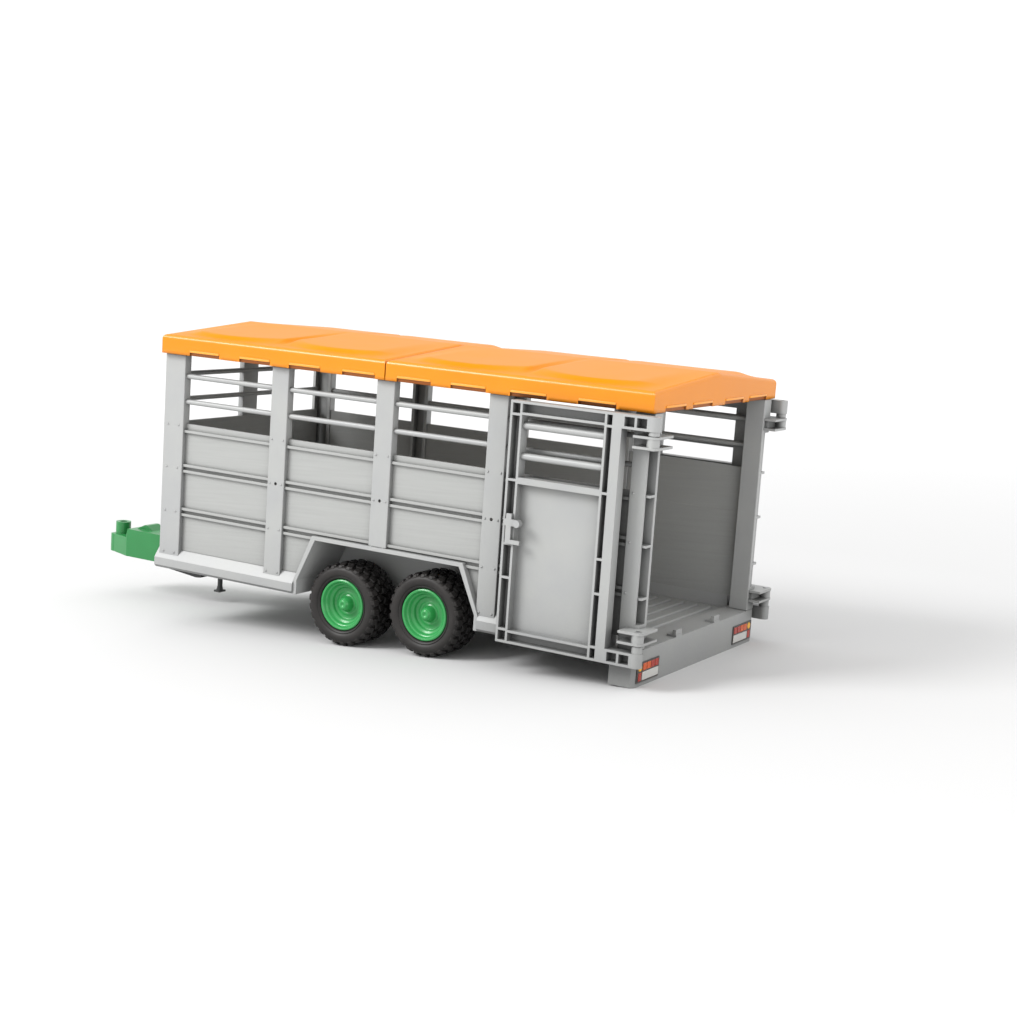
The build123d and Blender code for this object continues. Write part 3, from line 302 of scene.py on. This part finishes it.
def tyre_mesh():
    """A tyre about the Y axis with its outer side at +Y."""
    half = TYRE_WIDTH / 2
    side = [(RIM_SEAT, 10.5), (15.9, 11.5), (16.5, 12.3), (17.2, 12.6), (17.5, 12.3), (17.9, 12.8),
            (18.8, 13.2), (19.8, 13.4), (20.8, half - 0.05), (21.8, 13.25), (22.6, 12.8), (23.2, 12.1),
            (23.6, 11.2), (23.9, 9.8), (TREAD_BASE, 8.0), (TREAD_BASE, 4.0)]
    outline = side + [(radius, -y) for radius, y in reversed(side)]
    bm = bmesh.new()
    spun(bm, outline, TYRE_STEPS)
    for across, top, width, length, lean, twist, share in TREAD_ROWS:
        seat = (Matrix.Translation((0, across, top)) @ Matrix.Rotation(math.radians(lean), 4, "X")
                @ Matrix.Rotation(math.radians(twist), 4, "Z")
                @ Matrix.Translation((0, 0, -TREAD_HEIGHT / 2)))
        for i in range(TREAD_COUNT):
            turn = Matrix.Rotation(2 * math.pi * (i + share) / TREAD_COUNT, 4, "Y")
            bevelled_block(bm, (length, width, TREAD_HEIGHT), turn @ seat, 0.5)
    return bm


def rim_mesh():
    """A dished rim about the Y axis: rolled flange, two steps, flat dish and a hub with a dimple."""
    half = TYRE_WIDTH / 2
    outline = [(2.1, half - 3.5), (2.6, half - 3.1), (3.3, half - 3.1), (3.7, half - 3.5),
               (4.1, half - 6.0), (4.7, half - 7.6), (5.6, half - 8.1), (6.2, half - 7.8),
               (6.9, half - 7.8), (7.4, half - 8.2), (9.0, half - 8.3), (9.7, half - 7.9),
               (10.1, half - 6.6), (10.6, half - 6.1), (11.4, half - 6.0), (11.9, half - 5.5),
               (12.3, half - 3.9), (12.7, half - 3.5), (13.2, half - 3.3), (13.7, half - 2.2),
               (14.1, half - 1.6), (14.8, half - 1.4), (15.4, half - 1.7), (RIM_SEAT - 0.05, half - 2.4),
               (RIM_SEAT - 0.05, -half + 3.0), (15.0, -half + 1.6), (13.6, -half + 1.6),
               (13.2, half - 11.0), (4.4, half - 11.0), (4.0, -half + 0.6), (2.1, -half + 0.6)]
    bm = bmesh.new()
    spun(bm, outline, RIM_STEPS)
    return bm


def wheel_place(side, end):
    """A wheel's place: its own axle, outer face outwards."""
    centre = JOINTS[f"{side}_{end}_wheel_spin"]["pos_m"]
    turn = Matrix.Identity(4) if side == "right" else Matrix.Rotation(math.pi, 4, "Z")
    return Matrix.Translation(centre) @ turn @ Matrix.Scale(MM, 4)


# Underside of the axle head below the tyre's outer face, and how far the axle passes the tyre
HEAD_DEPTH, AXLE_REACH = 3.3, 5.0
AXLE_RADIUS = 1.95


def axle_mesh(side):
    """Both stub axles of a side, each with a domed head that has a dimple in its middle."""
    head = HALF_WIDTH - WHEEL_INSET - HEAD_DEPTH
    inner = HALF_WIDTH - WHEEL_INSET - TYRE_WIDTH - AXLE_REACH
    outline = [(0, head + 0.35), (0.6, head + 0.4), (1.1, head + 0.85), (1.7, head + 1.15),
               (2.3, head + 1.1), (2.9, head + 0.6), (3.15, head + 0.05), (3.0, head),
               (AXLE_RADIUS, head), (AXLE_RADIUS, inner), (0, inner)]
    turn = Matrix.Identity(4) if side == "right" else Matrix.Rotation(math.pi, 4, "Z")
    bm = bmesh.new()
    for end in ENDS:
        verts = set(bm.verts)
        spun(bm, outline, AXLE_STEPS, closed=False)
        made = [v for v in bm.verts if v not in verts]
        centre = JOINTS[f"{side}_{end}_wheel_spin"]["pos_m"]
        move = Matrix.Translation((centre[0] / MM, 0, centre[2] / MM)) @ turn
        bmesh.ops.transform(bm, matrix=move, verts=made)
    return bm


for side in SIDES:
    finish_piece(side + "_axle_heads", axle_mesh(side), side + "_rocker", GREEN_WHEEL,
                 Matrix.Scale(MM, 4), [side + "_stub_axles"], 40.0)
    for end in ENDS:
        name = f"{side}_{end}"
        finish_piece(name + "_tyre_tread", tyre_mesh(), name + "_wheel", TYRE,
                     wheel_place(side, end), [name + "_tyre"], 30.0)
        finish_piece(name + "_wheel_dish", rim_mesh(), name + "_wheel", GREEN_WHEEL,
                     wheel_place(side, end), [name + "_rim"], 40.0)


# Roof halves: a pillowed gable with a skirt and finger grips
ROOF_HALF_WIDTH = 83.4
ROOF_EAVE, ROOF_RIDGE, ROOF_FOOT = 163.0, 170.2, 151.5
ROOF_SPLIT = 169.0
ROOF_ENDS = {"front": (-0.6, ROOF_SPLIT - 0.4), "rear": (ROOF_SPLIT + 0.4, BODY_LENGTH + 0.6)}
ROOF_WALL = 1.5
ROOF_ROUND = 2.6
GRIPS = {"front": (33.7, 73.0, 110.8, 150.2), "rear": (189.1, 226.1, 265.4, 308.7)}
GRIP_LENGTH, GRIP_HEIGHT, GRIP_DEPTH = 23.5, 2.1, 1.2
END_GRIPS = (-56.5, -21.8, 21.8, 56.5)
END_GRIP_LENGTH = 26.0
LIP_LENGTH, LIP_RISE, LIP_HEIGHT = 22.8, 0.5, 1.3
PANEL_RISE = 2.1
PANEL_EDGE = 7.0
PANEL_STEP = 3.2
PANEL_CREASE = 0.6
PANEL_BOW = 17.0
BROW_STEP = 3


def smooth_step(value):
    """0 below 0, 1 above 1, and an even curve between."""
    value = min(1.0, max(0.0, value))
    return value * value * (3 - 2 * value)


def roof_height(x, y, low, high):
    """Height of the roof's top: two slopes to the ridge, each with two raised panels in this half."""
    height = ROOF_RIDGE - (ROOF_RIDGE - ROOF_EAVE) * abs(y) / ROOF_HALF_WIDTH
    middle = (low + high) / 2
    length = (high - low) / 2 - PANEL_EDGE * 0.6 - PANEL_CREASE
    along = (abs(x - middle) - PANEL_CREASE) / length
    if not 0 < along < 1:
        return height
    # each panel ends in an arc, lowest in its middle, with a fall from the arc to a straight line
    foot = ROOF_HALF_WIDTH - PANEL_EDGE
    arc = foot - PANEL_STEP - PANEL_BOW * (2 * along - 1) ** 2
    rise = smooth_step((foot - abs(y)) / (foot - arc)) if abs(y) > arc else abs(y) / arc
    ends = smooth_step(along * 20) * smooth_step((1 - along) * 5)
    return height + PANEL_RISE * rise * ends


def roof_mesh(end):
    """One roof half as an open sheet: the grid of its top, a rounded brow and the skirt."""
    low, high = ROOF_ENDS[end]
    r = ROOF_ROUND
    x_span, y_span = (high - low - 2 * r), 2 * (ROOF_HALF_WIDTH - r)
    bm = bmesh.new()
    centre = Matrix.Translation(((low + high) / 2, 0, 0))
    bmesh.ops.create_grid(bm, x_segments=112, y_segments=110, size=0.5,
                          matrix=centre @ Matrix.Diagonal((x_span, y_span, 1, 1)))
    for vert in bm.verts:
        vert.co.z = roof_height(vert.co.x, vert.co.y, low, high)
    rim = [e for e in bm.edges if e.is_boundary]
    steps = 6
    outer_x, outer_y = x_span / 2, y_span / 2
    middle = (low + high) / 2
    for i in range(1, steps + 1):
        made = bmesh.ops.extrude_edge_only(bm, edges=rim)
        rim = [g for g in made["geom"] if isinstance(g, bmesh.types.BMEdge)]
        angle, before = math.pi / 2 * i / steps, math.pi / 2 * (i - 1) / steps
        out = r * (math.sin(angle) - math.sin(before))
        down = r * (math.cos(before) - math.cos(angle))
        if i >= BROW_STEP:
            for face in (g for g in made["geom"] if isinstance(g, bmesh.types.BMFace)):
                face.material_index = 4
        for vert in {v for e in rim for v in e.verts}:
            way_x = (vert.co.x - middle) / outer_x
            way_y = vert.co.y / outer_y
            if abs(way_x) > 0.999:
                vert.co.x += math.copysign(out, way_x)
            if abs(way_y) > 0.999:
                vert.co.y += math.copysign(out, way_y)
            vert.co.z -= down
    for level in (ROOF_FOOT + GRIP_HEIGHT, ROOF_FOOT):
        made = bmesh.ops.extrude_edge_only(bm, edges=rim)
        rim = [g for g in made["geom"] if isinstance(g, bmesh.types.BMEdge)]
        for vert in {v for e in rim for v in e.verts}:
            vert.co.z = level
    sink_grips(bm, end)
    return bm


def sink_grips(bm, end):
    """Presses the finger grips into the lower edge of the skirt."""
    low, high = ROOF_ENDS[end]
    outer, end_inward = (low, 1) if end == "front" else (high, -1)
    for x in GRIPS[end]:
        for edge in (x - GRIP_LENGTH / 2, x + GRIP_LENGTH / 2):
            slice_skirt(bm, Vector((edge, 0, 0)), Vector((1, 0, 0)),
                        lambda f: abs(abs(f.y) - ROOF_HALF_WIDTH) < 0.01)
    for y in END_GRIPS:
        for edge in (y - END_GRIP_LENGTH / 2, y + END_GRIP_LENGTH / 2):
            slice_skirt(bm, Vector((0, edge, 0)), Vector((0, 1, 0)), lambda f: abs(f.x - outer) < 0.01)
    pressed = {}
    for face in bm.faces:
        mid = face.calc_center_median()
        if mid.z > ROOF_FOOT + GRIP_HEIGHT or abs(face.normal.z) > 0.5:
            continue
        if abs(abs(mid.y) - ROOF_HALF_WIDTH) < 0.01:
            for x in GRIPS[end]:
                if abs(mid.x - x) < GRIP_LENGTH / 2:
                    pressed.setdefault((x, mid.y > 0), []).append(face)
        elif abs(mid.x - outer) < 0.01:
            for y in END_GRIPS:
                if abs(mid.y - y) < END_GRIP_LENGTH / 2:
                    pressed.setdefault(("end", y), []).append(face)
    for key, faces in pressed.items():
        mid = faces[0].calc_center_median()
        inward = Vector((end_inward, 0, 0)) if key[0] == "end" else Vector((0, -math.copysign(1, mid.y), 0))
        made = bmesh.ops.extrude_face_region(bm, geom=faces)
        verts = [g for g in made["geom"] if isinstance(g, bmesh.types.BMVert)]
        # Slot 2 paints the recess dark brown: painted shade under the lip.
        for face in {face for vert in verts for face in vert.link_faces}:
            face.material_index = 2
        for vert in verts:
            share = 1.0 if vert.co.z < ROOF_FOOT + 0.1 else 0.9
            vert.co += inward * GRIP_DEPTH * share
        bmesh.ops.delete(bm, geom=faces, context="FACES")
    foot = [f for f in bm.faces if all(abs(v.co.z - ROOF_FOOT) < 1e-4 for v in f.verts)]
    bmesh.ops.delete(bm, geom=foot, context="FACES")


def slice_skirt(bm, point, normal, chosen):
    """Cuts only the skirt faces that pass a test, along a plane."""
    faces = [f for f in bm.faces if f.calc_center_median().z < ROOF_FOOT + GRIP_HEIGHT + 0.01
             and chosen(f.calc_center_median())]
    geom = faces + list({e for f in faces for e in f.edges}) + list({v for f in faces for v in f.verts})
    bmesh.ops.bisect_plane(bm, geom=geom, plane_co=point, plane_no=normal, dist=1e-5)


def grip_lips(end):
    """The raised lip over each finger grip."""
    low, high = ROOF_ENDS[end]
    bm = bmesh.new()
    level = ROOF_FOOT + GRIP_HEIGHT + LIP_HEIGHT / 2
    for x in GRIPS[end]:
        for way in SIDES.values():
            bevelled_block(bm, (LIP_LENGTH, 2 * LIP_RISE, LIP_HEIGHT),
                           Matrix.Translation((x, way * ROOF_HALF_WIDTH, level)), 0.25, 2)
    outer = low if end == "front" else high
    for y in END_GRIPS:
        bevelled_block(bm, (2 * LIP_RISE, END_GRIP_LENGTH - 1, LIP_HEIGHT),
                       Matrix.Translation((outer, y, level)), 0.25, 2)
    return bm


for end in ENDS:
    # Slots: top, inside, grip recess, inside, brow and skirt, inside; the wall gives each inner face the next
    # slot, so every inner face takes the inside's painted shade.
    shell = finish_piece(end + "_roof_panelled", roof_mesh(end), end + "_roof", 
                         (ORANGE, ORANGE_INSIDE, ORANGE_RECESS, ORANGE_INSIDE, ORANGE_BROW, ORANGE_INSIDE),
                         replaces=[end + "_roof"], sharp=38.0)
    wall = shell.modifiers.new("wall", "SOLIDIFY")
    wall.thickness, wall.offset, wall.use_even_offset = ROOF_WALL * MM, -1.0, True
    wall.material_offset = 1
    # The grip lips are painted lighter than the roof: a painted highlight along each lip.
    finish_piece(end + "_roof_grip_lips", grip_lips(end), end + "_roof", ORANGE_LIP)


# Upright in the middle of the front wall, from the floor band to under the top rail
UPRIGHT_FRONT, UPRIGHT_BACK = 0.2, 4.2
UPRIGHT_WIDTH = 15.0
UPRIGHT_FOOT, UPRIGHT_TOP = 24.0, 151.4

bm = bmesh.new()
middle = Vector(((UPRIGHT_FRONT + UPRIGHT_BACK) / 2, 0, (UPRIGHT_FOOT + UPRIGHT_TOP) / 2))
bevelled_block(bm, (UPRIGHT_BACK - UPRIGHT_FRONT, UPRIGHT_WIDTH, UPRIGHT_TOP - UPRIGHT_FOOT),
               Matrix.Translation(middle), 0.3, 2)
finish_piece("front_middle_upright", bm, "trailer", GREY)


# Rivets in pairs down every post
RIVET_HEIGHTS = (107.0, 80.0, 52.0, 25.5)
CORNER_RIVETS = (107.0, 80.0, 52.0)
RIVET_RADIUS, RIVET_RISE = 0.7, 0.55
RIVET_OFFSET = 4.3
CORNER_RIVET_INSET = 9.6


def rivet(bm, x, y, z, way):
    """A low dome on the outer face of a post."""
    made = bmesh.ops.create_uvsphere(bm, u_segments=12, v_segments=8, radius=1.0)
    place = Matrix.Translation((x, y, z)) @ Matrix.Diagonal((RIVET_RADIUS, RIVET_RISE, RIVET_RADIUS, 1))
    bmesh.ops.transform(bm, matrix=place, verts=made["verts"])
    buried = [v for v in made["verts"] if (v.co.y - y) * way < -0.2 * RIVET_RISE]
    bmesh.ops.delete(bm, geom=buried, context="VERTS")


for side, way in SIDES.items():
    bm = bmesh.new()
    for i, x in enumerate(POST_CENTRES):
        for z in RIVET_HEIGHTS:
            if i == 2 and z < 50:
                continue
            for offset in (-RIVET_OFFSET, RIVET_OFFSET):
                rivet(bm, x + offset, way * HALF_WIDTH, z, way)
    for z in CORNER_RIVETS:
        rivet(bm, BODY_LENGTH - CORNER_RIVET_INSET, way * HALF_WIDTH, z, way)
    finish_piece(side + "_post_rivets", bm, "trailer", GREY, sharp=60.0)


# Tail-lamp boards: a dark border with a row of lamps over a blank white field
LAMP_FACE = BODY_LENGTH + 0.5
LAMP_RISE = 0.25
LAMP_INNER, LAMP_OUTER = 51.8, 76.8
LAMP_ROW, LAMP_FIELD = (8.7, 12.7), (3.2, 7.9)
LAMP_ROUND = 2.3


def lamp_mesh(way):
    """One board's lamps: an amber round one at the outer end, two orange, two red, and the white field."""
    bm = bmesh.new()
    row_height = LAMP_ROW[1] - LAMP_ROW[0]
    row_centre = (LAMP_ROW[0] + LAMP_ROW[1]) / 2
    made = bmesh.ops.create_cone(bm, cap_ends=True, segments=32, radius1=LAMP_ROUND,
                                 radius2=LAMP_ROUND * 0.8, depth=LAMP_RISE * 2)
    place = (Matrix.Translation((LAMP_FACE, way * (LAMP_OUTER - LAMP_ROUND), row_centre))
             @ Matrix.Rotation(math.pi / 2, 4, "Y"))
    bmesh.ops.transform(bm, matrix=place, verts=made["verts"])
    start = LAMP_OUTER - 2 * LAMP_ROUND - 0.8
    pitch = (start - LAMP_INNER) / 4
    for i, which in enumerate((1, 1, 2, 2)):
        y = way * (start - pitch * (i + 0.5))
        bevelled_block(bm, (2 * LAMP_RISE, pitch - 0.6, row_height),
                       Matrix.Translation((LAMP_FACE, y, row_centre)), 0.15, 1, which)
    length = LAMP_OUTER - LAMP_INNER - 5.0
    field_centre = (LAMP_FIELD[0] + LAMP_FIELD[1]) / 2
    bevelled_block(bm, (2 * LAMP_RISE, length, LAMP_FIELD[1] - LAMP_FIELD[0]),
                   Matrix.Translation((LAMP_FACE, way * (LAMP_INNER + length / 2), field_centre)), 0.15, 1, 3)
    bevelled_block(bm, (2 * LAMP_RISE, 3.6, LAMP_FIELD[1] - LAMP_FIELD[0]),
                   Matrix.Translation((LAMP_FACE, way * (LAMP_OUTER - 2.1), field_centre)), 0.15, 1, 2)
    return bm


for side, way in SIDES.items():
    finish_piece(side + "_tail_lamps", lamp_mesh(way), "trailer",
                 (LAMP_AMBER, LAMP_ORANGE, LAMP_RED, LAMP_WHITE), sharp=30.0)


# ---- Carried-over nodes ---------------------------------------------------------------------------

def finish_of(node):
    """The material of a node that keeps its shape."""
    if node == "front_boards":
        return BOARD_ACROSS
    if node.endswith("boards"):
        return BOARD
    if node in ("drawbar", "hitch_bush"):
        return GREEN
    # The arch housings are painted paler than the rest, with less painted shade, as painted light from the
    # floor.
    if node.endswith("wheel_housing"):
        return GREY_ARCH
    # The drawbar keel is black as painted shade under the front of the drawbar.
    if node.endswith("rocker") or node == "drawbar_keel":
        return BLACK
    if node.endswith("rocker_pin") or node == "jack_leg":
        return DARK
    if node.endswith("hinge_pins") or node in ("drawbar_bolts", "jack_pin"):
        return STEEL
    if node.endswith("tail_light_plate"):
        return LAMP_BORDER
    return GREY


for node, piece in frame["nodes"].items():
    piece.data.materials.clear()
    piece.data.materials.append(finish_of(node))


# ---- Stage ------------------------------------------------------------------------------------------

def stage():
    """Pale floor painted darker near the middle to hold back the key light's pool, even daylight a little
    brighter overhead, a soft key light and a weak low fill.
    """
    floor_finish, tree, shader, place = material("pale_paper_sweep_painted_darker_middle")
    mottle = add(tree, "ShaderNodeTexNoise", {"Scale": 3.0, "Detail": 2.0}, {"Vector": place})
    middle = add(tree, "ShaderNodeMix", {"data_type": "RGBA"})
    set_mix(tree, middle, mottle.outputs["Fac"], srgb("CECECE"), srgb("D0D0D0"))
    # Painted shade on the floor: darker near the middle, where the key light pools, paler far out towards the
    # horizon.
    reach = add(tree, "ShaderNodeVectorMath", {"operation": "LENGTH"}, {"Vector": place})
    outer = add(tree, "ShaderNodeMapRange", {"From Min": 0.5, "From Max": 2.4},
                {"Value": reach.outputs["Value"]})
    tone = add(tree, "ShaderNodeMix", {"data_type": "RGBA"})
    set_mix(tree, tone, outer.outputs["Result"], srgb("CECECE"), srgb("F8F8F8"))
    tree.links.new(middle.outputs[2], tone.inputs[6])
    tree.links.new(tone.outputs[2], shader.inputs["Base Color"])
    shader.inputs["Roughness"].default_value = 0.9
    shader.inputs["Specular IOR Level"].default_value = 0.1
    bm = bmesh.new()
    bmesh.ops.create_grid(bm, x_segments=1, y_segments=1, size=12.0)
    mesh = bpy.data.meshes.new("floor")
    bm.to_mesh(mesh)
    bm.free()
    mesh.materials.append(floor_finish)
    floor = bpy.data.objects.new("floor", mesh)
    bpy.context.scene.collection.objects.link(floor)

    world = bpy.data.worlds.new("studio")
    world.use_nodes = True
    tree = world.node_tree
    way = add(tree, "ShaderNodeTexCoord")
    parts = add(tree, "ShaderNodeSeparateXYZ", links={"Vector": way.outputs["Generated"]})
    rise = add(tree, "ShaderNodeMapRange", {"To Min": 1.04, "To Max": 1.18}, {"Value": parts.outputs["Z"]})
    tree.nodes["Background"].inputs["Color"].default_value = (1, 1, 1, 1)
    tree.links.new(rise.outputs["Result"], tree.nodes["Background"].inputs["Strength"])
    bpy.context.scene.world = world
    for name, at, size, power in (("key", (-1.25, -1.6, 1.7), 1.0, 54.0),
                                  ("fill", (1.9, -0.7, 0.3), 1.2, 11.0)):
        light = bpy.data.lights.new(name, "AREA")
        light.size, light.energy = size, power
        holder = bpy.data.objects.new(name, light)
        holder.location = at
        holder.rotation_euler = (Vector((0, 0, 0.08)) - Vector(at)).to_track_quat("-Z", "Y").to_euler()
        bpy.context.scene.collection.objects.link(holder)


def camera():
    """The viewing angle: from the rear left, a little above."""
    lens = bpy.data.cameras.new("camera")
    lens.sensor_width, lens.lens = 36.0, 63.755
    lens.shift_x, lens.shift_y = -0.00045, 0.00572
    lens.clip_start, lens.clip_end = 0.05, 50.0
    holder = bpy.data.objects.new("camera", lens)
    right = Vector((0.85887, 0.51207, 0.01107))
    up = Vector((-0.07480, 0.10403, 0.99176))
    back = Vector((0.50670, -0.85262, 0.12765))
    turn = Matrix((right, up, back)).transposed().to_4x4()
    holder.matrix_world = Matrix.Translation((0.65204, -0.94445, 0.21949)) @ turn
    bpy.context.scene.collection.objects.link(holder)
    bpy.context.scene.camera = holder


stage()
camera()
bpy.context.scene.view_settings.view_transform = "Standard"
